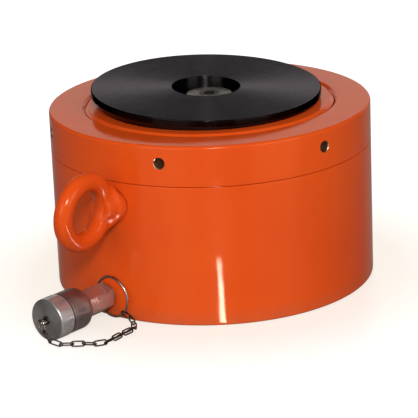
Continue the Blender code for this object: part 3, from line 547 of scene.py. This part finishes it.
anyMetal = {
    "metallic": 1,
    "edge": (1, 1, 1),  # tint of the sheen at a glancing angle
    "stains": (55, 5, 0.38, 0.68),
    "stain": 0.62,  # a stain's brightness, as a share of the metal's own
    "worn": (130, 4, 0.3, 0.75),
    "wear": 1,  # scales the uneven roughness and the waves
    "wearRange": (-0.05, 0.1),
    "waves": (70, 2),
    "waveDepth": 4,  # times the depth of the lines or grain
    "lines": 0,  # the turning lines' scale, 0 for a fine grain in their place
    "fine": (900, 3),
    "lineSheen": 0.05,  # how far they change the roughness
    "stretch": 0,  # how far the lines draw out the sheen
}

metals = {
    "darkSaddle": {
        "colour": (0.040, 0.035, 0.036), "edge": (0.80, 0.80, 0.88), "roughness": 0.33,
        "lines": 900, "depth": 0.00001, "stretch": 0.93, "stain": 0.9, "wear": 0.3,
    },
    # painted shade: the saddle's side wall, the same steel drawn darker and with a dimmer glancing sheen
    # than the top; its lower roughness lets the rounded top edge glint
    "rimPaintedShade": {
        "colour": (0.016, 0.013, 0.013), "edge": (0.3, 0.3, 0.3), "roughness": 0.19,
        "lines": 700, "depth": 0.000008, "stretch": 0.4,
    },
    "darkDisc": {
        "colour": (0.30, 0.275, 0.275), "roughness": 0.38,
        "lines": 1300, "depth": 0.00001, "stretch": 0.6,
    },
    "blackScrew": {
        "colour": (0.06, 0.06, 0.062), "roughness": 0.4,
        "lines": 1500, "depth": 0.000006, "stretch": 0.2,
    },
    "plainSteel": {
        "colour": (0.42, 0.41, 0.40), "roughness": 0.3,
        "lines": 1300, "depth": 0.000008, "stretch": 0.4,
    },
    "platedSteel": {
        "colour": (0.42, 0.37, 0.365), "roughness": 0.44,
        "lines": 1500, "depth": 0.000006, "stretch": 0.3,
    },
    "adapterSteel": {
        "colour": (0.56, 0.48, 0.45), "metallic": 0.88, "roughness": 0.28,
        "depth": 0.000004, "stain": 0.9, "wear": 0.2,
    },
    "holeSteel": {"colour": (0.58, 0.40, 0.26), "roughness": 0.4, "depth": 0.00001},
    "capBand": {
        "colour": (0.74, 0.76, 0.77), "metallic": 0.8, "roughness": 0.32,
        "lines": 1500, "depth": 0.000006, "stretch": 0.5,
    },
    "capFace": {
        "colour": (0.46, 0.44, 0.43), "roughness": 0.5,
        "lines": 1100, "depth": 0.00001, "stretch": 0.3,
    },
    "rivetSteel": {"colour": (0.10, 0.088, 0.08), "roughness": 0.35, "depth": 0.00001},
    "brightWire": {"colour": (0.50, 0.46, 0.44), "roughness": 0.22, "depth": 0.000006},
    "chainWire": {"colour": (0.105, 0.08, 0.07), "roughness": 0.3, "depth": 0.00001},
}


def stretchSheen(tree, shader, stretch, at):
    # the sheen is drawn out by the turning lines round the frame's axis
    at = Matrix() if at is None else at
    centred = addNode(tree, "ShaderNodeVectorMath", operation="SUBTRACT")
    tree.links.new(objectPlace(tree), centred.inputs[0])
    centred.inputs[1].default_value = at.to_translation()
    ringWay = addNode(tree, "ShaderNodeVectorMath", operation="CROSS_PRODUCT")
    ringWay.inputs[0].default_value = at.to_3x3() @ Vector((0, 0, 1))
    tree.links.new(centred.outputs[0], ringWay.inputs[1])
    tree.links.new(ringWay.outputs[0], shader.inputs["Tangent"])
    shader.inputs["Anisotropic"].default_value = stretch
    shader.inputs["Anisotropic Rotation"].default_value = 0.25


def makeMetal(name, look, at=None, along=False):
    # along: the lines follow the distance along the axis, not the distance from it
    look = {**anyMetal, **look}
    made, tree, shader = startMaterial(name, look["colour"], look["roughness"], look["metallic"])
    shader.inputs["Specular Tint"].default_value = (*look["edge"], 1)
    where = objectPlace(tree, at)
    dark = tuple(look["stain"] * part for part in look["colour"])
    stains = patches(tree, where, look["stains"], 0, 1)
    tree.links.new(blendColour(tree, stains, look["colour"], dark), shader.inputs["Base Color"])
    low, high = [look["roughness"] + change * look["wear"] for change in look["wearRange"]]
    worn = patches(tree, where, look["worn"], low, high)
    layers = [(grain(tree, where, *look["waves"]), look["depth"] * look["waveDepth"] * look["wear"])]
    if look["lines"]:
        reach = axes(tree, where)[2] if along else fromAxis(tree, where)
        lines = grain(tree, reach, look["lines"], 3, lines=True)
        layers.append((lines, look["depth"]))
        rough = spread(tree, lines, 0.3, 0.7, -look["lineSheen"], look["lineSheen"])
        worn = calc(tree, "ADD", worn, rough)
    else:
        layers.append((grain(tree, where, *look["fine"]), look["depth"]))
    tree.links.new(worn, shader.inputs["Roughness"])
    bumped(tree, shader, layers)
    if look["stretch"]:
        stretchSheen(tree, shader, look["stretch"], at)
    return made


# rubber and plastic of the rings

anySoft = {
    "scuffs": (70, 5, 0.5, 0.8),
    "scuffed": 0.6,
    "paler": (1.6, 0.01),
    "worn": (110, 3, 0.3, 0.7),
    "wearRange": (-0.08, 0.12),
    "depth": 0.00002,
}

soft = {
    "sealRubber": {"colour": (0.022, 0.022, 0.023), "roughness": 0.6, "grain": (500, 2)},
    "backupPlastic": {"colour": (0.78, 0.76, 0.68), "roughness": 0.5, "grain": (300, 2)},
    "wearPlastic": {"colour": (0.24, 0.13, 0.06), "roughness": 0.5, "grain": (350, 2)},
}


def makeSoft(name, look):
    look = {**anySoft, **look}
    made, tree, shader = startMaterial(name, look["colour"], look["roughness"])
    where = objectPlace(tree)
    times, plus = look["paler"]
    pale = tuple(min(1, part * times + plus) for part in look["colour"])
    scuffs = patches(tree, where, look["scuffs"], 0, look["scuffed"])
    tree.links.new(blendColour(tree, scuffs, look["colour"], pale), shader.inputs["Base Color"])
    low, high = [look["roughness"] + change for change in look["wearRange"]]
    tree.links.new(patches(tree, where, look["worn"], low, high), shader.inputs["Roughness"])
    bumped(tree, shader, [(grain(tree, where, *look["grain"]), look["depth"])])
    return made


# the oil port's axis and the ball seat that the saddle tilts on

oilPort = {"azimuth": -131.5, "height": 18}
ballSeat = {"centre": 244.135, "tilt": 2.5, "axisAngle": 45}  # angles in degrees

portFrame = outwardFrame(oilPort["azimuth"], oilPort["height"])
axisAngle = math.radians(ballSeat["axisAngle"])
tiltAxis = Vector((math.sin(axisAngle), math.cos(axisAngle), 0))
seatPlace = Matrix.Translation((0, 0, ballSeat["centre"] * mm))
saddleFrame = seatPlace @ Matrix.Rotation(math.radians(ballSeat["tilt"]), 4, tiltAxis)
saddleTilt = saddleFrame @ seatPlace.inverted()

bodyEnamel = makeEnamel("bodyEnamel", enamel)
nutEnamel = makeEnamel("nutEnamel", enamel)
eyeEnamel = makeEnamel("eyeEnamel", {**enamel, "smooth": 0.12, "dull": 0.2})
plungerEnamel = makeEnamel("plungerEnamel", enamel)
saddleSteel = makeMetal("saddleSteel", metals["darkSaddle"], saddleFrame)
# painted shade: a darker copy of the saddle steel for its side wall
rimShadedSteel = makeMetal("rimShadedSteel", metals["rimPaintedShade"], saddleFrame, along=True)
discSteel = makeMetal("discSteel", metals["darkDisc"])
screwSteel = makeMetal("screwSteel", metals["blackScrew"])
threadSteel = makeMetal("threadSteel", metals["plainSteel"], along=True)
holeSteel = makeMetal("holeSteel", metals["holeSteel"])
couplerSteel = makeMetal("couplerSteel", metals["platedSteel"], portFrame, along=True)
adapterSteel = makeMetal("adapterSteel", metals["adapterSteel"])
capBand = makeMetal("capBand", metals["capBand"], portFrame, along=True)
capFace = makeMetal("capFace", metals["capFace"], portFrame)
rivetSteel = makeMetal("rivetSteel", metals["rivetSteel"])
brightWire = makeMetal("brightWire", metals["brightWire"])
chainWire = makeMetal("chainWire", metals["chainWire"])
sealRubber = makeSoft("sealRubber", soft["sealRubber"])
backupPlastic = makeSoft("backupPlastic", soft["backupPlastic"])
wearPlastic = makeSoft("wearPlastic", soft["wearPlastic"])
print("materials made")


# cylinder body with its bore, oil port, overflow hole and the spots the eyes stand in

bodyShell = {
    "profile": [
        (107.8, 118.5, 0.4), (bodyRadius, 118.5, 0.9), (bodyRadius, 0, 1.5), (0, 0), (0, 26),
        (107.8, 26), (107.8, 110), (112, 110), (112, 116), (107.8, 116),
    ],
    "portHole": (8.8, -22, 10),  # radius, then from and to along the port's axis
    "passage": (3, -52.5, -11),
    "outlet": (2.7, 0, 11),  # upright, from the passage into the bore
    "outletDepth": 49.5,
    "overflow": [(0, 1.75), (7, 1.75), (3.5, -1.75), (3.5, -39.7), (0, -39.7)],
    "overflowAt": (-135.3, 94.5),  # degrees round the body, height
    "eyeSpot": [(0, -21.9), (8.3, -21.9), (8.3, -1.6), (14.8, -1.6), (14.8, 10), (0, 10)],
    "eyeAngle": -126.5,
    "eyeHeight": 98.5,
    "eyeLean": 7,
    "eyeTurn": -5,
}


def eyeFrame(side):
    at = outwardFrame(bodyShell["eyeAngle"] + 180 * side, bodyShell["eyeHeight"])
    lean = Matrix.Rotation(math.radians(-bodyShell["eyeLean"]), 4, "X")
    return at @ lean @ Matrix.Rotation(math.radians(bodyShell["eyeTurn"]), 4, "Z")


def makeBody():
    cuts = together(
        moved(rod(*bodyShell["portHole"]), portFrame),
        moved(turned(bodyShell["overflow"], 48), outwardFrame(*bodyShell["overflowAt"])),
        moved(turned(bodyShell["eyeSpot"], 72), eyeFrame(0)),
        moved(turned(bodyShell["eyeSpot"], 72), eyeFrame(1)),
    )
    bm = combined(turned(bodyShell["profile"]), cuts)
    bm = combined(bm, moved(rod(*bodyShell["passage"]), portFrame))
    outlet = Matrix.Translation(portFrame @ Vector((0, 0, -bodyShell["outletDepth"] * mm)))
    bm = combined(bm, moved(rod(*bodyShell["outlet"]), outlet))
    finishPiece(bm, "bodyShell", bodyEnamel, "cylinder", ["cylinder_body"])


# lock nut with six holes for a tommy bar

lockNut = {
    "profile": [
        (109, 152.8, 0.2), (bodyRadius, 152.8, 2.5), (bodyRadius, 118.8, 0.9),
        (109, 118.8), (106.8, 121), (106.8, 150.6),
    ],
    "hole": [(0, -22.7), (4.5, -20), (4.5, -0.55), (5.3, 0.25), (5.3, 6), (0, 6)],
    "holes": 6,
    "holeHeight": 138.3,
    "firstHole": -108,  # degrees round the nut
    "bareReach": (112, 137.35),  # the holes' bare steel, by its distance from the axis
    "bareHeight": (130, 147),
}


def within(value, span):
    return span[0] * mm < value < span[1] * mm


def inTommyHole(centre):
    return within(centre.xy.length, lockNut["bareReach"]) and within(centre.z, lockNut["bareHeight"])


def makeNut():
    holes = []
    for index in range(lockNut["holes"]):
        angle = lockNut["firstHole"] + 360 / lockNut["holes"] * index
        at = outwardFrame(angle, lockNut["holeHeight"])
        holes.append(moved(turned(lockNut["hole"], 48), at))
    bm = combined(turned(lockNut["profile"]), together(*holes))
    second = (holeSteel, inTommyHole)
    finishPiece(bm, "lockNut", nutEnamel, "lock_nut", ["lock_nut"], second=second)


# plunger: threaded bar with a hollow ball seat on top and the piston's ring grooves below

plunger = {
    "screwHole": [(0, 93.2), (5.3, 96.4), (5.3, 114.41)],
    "ballRadius": 130,
    "ballReach": (8.5, 93),
    "top": [(103.5, 153.3, 0.3), (106.5, 151.3, 0.3)],
    "piston": [
        (106.5, 62.3), (107.5, 61.3), (107.5, 56.3), (105, 56.3), (105, 46.3),
        (107.5, 46.3), (107.5, 40.3), (99.5, 40.3), (99.5, 32.3), (107.5, 32.3),
        (107.5, 29.3), (104.5, 26.3), (95, 26.3), (93.5, 27.8), (0, 27.8),
    ],
    "thread": {
        "mouth": 108.2, "root": 104.1, "pitch": 8, "wide": 6.9, "narrow": 2.3, "low": 69, "high": 165,
    },
    "paintedAbove": 147.8,  # the outside; the seat is painted all over
    "outside": 103.5,  # faces past this radius are the outside
    "bareBelow": 100,
}


def belowPaint(centre):
    if centre.z < plunger["bareBelow"] * mm:
        return True
    return centre.z < plunger["paintedAbove"] * mm and centre.xy.length > plunger["outside"] * mm


def makePlunger():
    seat = dome(plunger["ballRadius"], ballSeat["centre"], *plunger["ballReach"], 14)
    bm = turned(plunger["screwHole"] + seat + plunger["top"] + plunger["piston"])
    bm = combined(bm, threadGroove(plunger["thread"], 72))
    second = (threadSteel, belowPaint)
    finishPiece(bm, "plungerBar", plungerEnamel, "plunger", ["plunger"], second=second)


# tilt saddle, turned on a lathe, with the disc and screw that keep it

saddle = {
    "top": [(29.5, 165.2, 0.3), (98.5, 165.2, 0.8)],
    "inside": [(19.5, 117.6), (16.25, 155.2), (29.5, 155.2)],
    "ballRadius": 129.6,
    "ballReach": (98.5, 28),
    "shadedRimFrom": 97.9,
}


# the side wall and its rounded top edge take the darker, painted-shade copy of the saddle steel
def onShadedRim(centre):
    return (saddleTilt.inverted() @ centre).xy.length > saddle["shadedRimFrom"] * mm


def makeSaddle():
    underside = dome(saddle["ballRadius"], ballSeat["centre"], *saddle["ballReach"], 16)
    bm = moved(turned(saddle["top"] + underside + saddle["inside"]), saddleTilt)
    second = (rimShadedSteel, onShadedRim)
    finishPiece(bm, "tiltSaddle", saddleSteel, "saddle", ["saddle"], second=second)


retainer = {
    "disc": [(9.05, 159.7, 0.1), (19.3, 159.7, 0.5), (19.3, 156.7, 0.2), (5.3, 156.7), (5.3, 157.1)],
    "screw": [(0, 159.7), (8.75, 159.7, 0.15), (5, 157.1), (5, 96.44, 0.6), (0, 96.44)],
    "socket": (4.62, 154.7, 162),  # radius to the corners, floor, top
    "socketMouth": [(0, 159.2), (4.3, 159.2), (5.2, 160.1), (0, 160.1)],
}


def makeRetainer():
    disc = turned(retainer["disc"], 96)
    finishPiece(disc, "saddleDisc", discSteel, "plunger", ["saddle_retainer_disc"])
    screw = combined(turned(retainer["screw"], 72), rod(*retainer["socket"], 6))
    screw = combined(screw, turned(retainer["socketMouth"], 48))
    finishPiece(screw, "socketScrew", screwSteel, "plunger", ["saddle_retainer_screw"])


# lifting eyes: ring, shoulder and stem forged as one

liftingEye = {
    "ring": (25.4, 7.8),
    "centre": 38,
    "stem": [
        (0, 18), (10.5, 18), (12.2, 8), (13.2, 4, 2), (13.9, 0.6, 0.3), (13.9, -1.25, 0.4),
        (8, -1.25), (8, -20.2, 1), (0, -20.2),
    ],
    "shoulder": [(0, 1.5), (13.6, 1.5), (17.5, 6), (22.5, 12), (27, 22), (27.5, 29), (0, 29)],
    "thinning": ((1.5, 12, 22), (1, 0.42, 0.26)),  # heights, and the share of width left there
    "opening": (19.4, -30, 30),  # what the ring's hole takes from the shoulder
    "voxel": 0.75,
    "softening": 9,
}


def makeEyes():
    across = Matrix.Translation((0, 0, liftingEye["centre"] * mm)) @ Matrix.Rotation(math.pi / 2, 4, "Y")
    for side, node in enumerate(("lifting_eye_front", "lifting_eye_rear")):
        shoulder = turned(liftingEye["shoulder"], 64)
        for vert in shoulder.verts:  # round at the stem, flat at the ring
            vert.co.x *= np.interp(vert.co.z / mm, *liftingEye["thinning"])
        shoulder = combined(shoulder, moved(rod(*liftingEye["opening"], 96), across))
        ring = moved(wireRing(*liftingEye["ring"], 128, 40), across)
        bm = together(turned(liftingEye["stem"], 64), shoulder, ring)
        bm = moved(melted(bm, liftingEye["voxel"], liftingEye["softening"]), eyeFrame(side))
        name = "frontEye" if side == 0 else "rearEye"
        finishPiece(bm, name, eyeEnamel, "cylinder", [node], sharp=60)


makeBody()
makeNut()
makePlunger()
makeSaddle()
makeRetainer()
makeEyes()
print("body, nut, plunger, saddle and eyes made")


# oil coupler on its nipple, all along one axis out of the body

coupler = {
    "nipple": [(4, 16.2), (8.5, 16.2, 1), (8.5, -20, 1), (4, -20)],
    "nippleThread": {
        "mouth": 9, "root": 7.6, "pitch": 1.81, "wide": 1.9, "narrow": 0.3, "low": -22, "high": 18,
    },
    "adapter": [
        (4, 39.8), (10, 39.8), (10, 30.8), (10.75, 30.8), (12.41, 29.6),
        (12.41, 4.4), (10.75, 3.2), (8.8, 3.2), (8.8, 16.5), (4, 16.5),
    ],
    "hexagon": (12.41, -5, 60),  # radius to the corners, from, to
    "roll": 35,  # degrees
    "body": [
        (11, 66.6, 0.3), (14.5, 66.6, 0.8), (14.5, 55.1), (17.3, 55.1, 0.6), (17.3, 36.6, 2),
        (13.5, 31.1, 0.5), (10.3, 31.1), (10.3, 40.1), (9, 40.1), (9, 54.1),
        (6.5, 56.6), (6.5, 58.6), (11, 58.6),
    ],
    "thread": {
        "mouth": 15.2, "root": 13.6, "pitch": 1.8, "wide": 1.9, "narrow": 0.3, "low": 57.8, "high": 69,
    },
}


def makeCoupler():
    bm = combined(turned(coupler["nipple"], 96), threadGroove(coupler["nippleThread"], 48))
    bm = moved(bm, portFrame)
    finishPiece(bm, "portNipple", couplerSteel, "cylinder", ["port_nipple"])
    roll = Matrix.Rotation(math.radians(coupler["roll"]), 4, "Z")
    hexagon = moved(rod(*coupler["hexagon"], 6), roll)
    bm = moved(combined(turned(coupler["adapter"], 144), hexagon, "INTERSECT"), portFrame)
    finishPiece(bm, "hexAdapter", adapterSteel, "cylinder", ["coupler_adapter"])
    bm = combined(turned(coupler["body"], 144), threadGroove(coupler["thread"], 64))
    bm = moved(bm, portFrame)
    finishPiece(bm, "couplerBody", couplerSteel, "cylinder", ["coupler_body"])


# dust cap, its swivel rivet and the tether ring

dustCap = {
    "profile": [
        (2.2, 70.9, 0.2), (17.6, 70.9, 1.3), (17.6, 56.6, 0.4), (14.9, 56.6), (14.9, 68.6), (2.2, 68.6),
    ],
    "faceFrom": 69.9,
    "faceReach": 17.2,  # past it the rounded edge shines like the band
    "rivet": [
        (0, 72.5), (3.6, 72.5, 0.6), (3.6, 71.2), (1.9, 71.2), (1.9, 68.3),
        (4.25, 68.3, 0.3), (4.25, 67, 0.3), (0, 67),
    ],
    "rivetEye": (2.6, 0.9),
    "rivetEyeAt": 75.1,
    "rivetEyeFrom": 72.8,
    "tether": (17.3, 0.9),
    "tetherAt": (7.4, 0, 2.0),
    "tetherHeight": 18.6,
}


def onCapFace(centre):
    local = portFrame.inverted() @ centre
    return local.z > dustCap["faceFrom"] * mm and local.xy.length < dustCap["faceReach"] * mm


def onRivetEye(centre):
    return (portFrame.inverted() @ centre).z > dustCap["rivetEyeFrom"] * mm


def makeCap():
    bm = moved(turned(dustCap["profile"], 144), portFrame)
    second = (capFace, onCapFace)
    finishPiece(bm, "dustCap", capBand, "dust_cap", ["dust_cap"], second=second)


def makeRivet():
    eye = moved(wireRing(*dustCap["rivetEye"], 48, 14), Matrix.Rotation(math.pi / 2, 4, "X"))
    eye = moved(eye, Matrix.Translation((0, 0, dustCap["rivetEyeAt"] * mm)))
    bm = moved(combined(turned(dustCap["rivet"], 64), eye, "UNION"), portFrame)
    second = (brightWire, onRivetEye)
    nodes = ["cap_swivel_rivet"]
    finishPiece(bm, "swivelRivet", rivetSteel, "cap_swivel", nodes, second=second)


def makeTether():
    at = outwardFrame(oilPort["azimuth"], dustCap["tetherHeight"])
    at = at @ Matrix.Translation(Vector(dustCap["tetherAt"]) * mm)
    bm = moved(wireRing(*dustCap["tether"], 128, 16), at)
    finishPiece(bm, "tetherRing", brightWire, "cylinder", ["tether_ring"])


# chain of closed wire links, each laid where its CAD link lies

chain = {
    "wire": 0.65,
    "endRadius": 2.15,
    "straight": 3.5,
    "parts": [
        ("chainAtBody", "cylinder", range(1, 5)),
        ("chainMiddle", "chain_middle", range(5, 7)),
        ("chainAtCap", "cap_swivel", range(7, 16)),
    ],
}


def linkPlace(node):
    # a link's middle, with its length along X and its width along Y
    points = np.array([vert.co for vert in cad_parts[node].data.vertices])
    points = np.unique(np.round(points, 6), axis=0)
    middle = points.mean(axis=0)
    turn = np.linalg.eigh(np.cov((points - middle).T))[1]
    length, width = Vector(turn[:, 2]), Vector(turn[:, 1])
    axesOfLink = Matrix((length, width, length.cross(width))).transposed().to_4x4()
    return Matrix.Translation(middle) @ axesOfLink


def makeLink():
    bm = wireRing(chain["endRadius"], chain["wire"], 20, 10)
    for way in (1, -1):
        end = [vert for vert in bm.verts if vert.co.x * way > 1e-6]
        bmesh.ops.translate(bm, verts=end, vec=(way * chain["straight"] * mm, 0, 0))
    return bm


def makeChain():
    for name, body, numbers in chain["parts"]:
        nodes = [f"chain_link_{number:02d}" for number in numbers]
        bm = together(*[moved(makeLink(), linkPlace(node)) for node in nodes])
        finishPiece(bm, name, chainWire, body, nodes, sharp=80)


makeCoupler()
makeCap()
makeRivet()
makeTether()
makeChain()
print("coupler, cap and chain made")


# the rings and inner parts whose CAD shape is already right

innerFinish = {
    "saddle_spacer": threadSteel,
    "piston_seal": sealRubber,
    "seal_backup_ring": backupPlastic,
    "piston_wear_ring": wearPlastic,
    "wiper_ring": sealRubber,
    "cap_gasket": sealRubber,
    "coupler_poppet": brightWire,
    "coupler_spring": brightWire,
}
for node, material in innerFinish.items():
    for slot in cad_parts[node].material_slots:
        slot.material = material
print("inner parts finished")
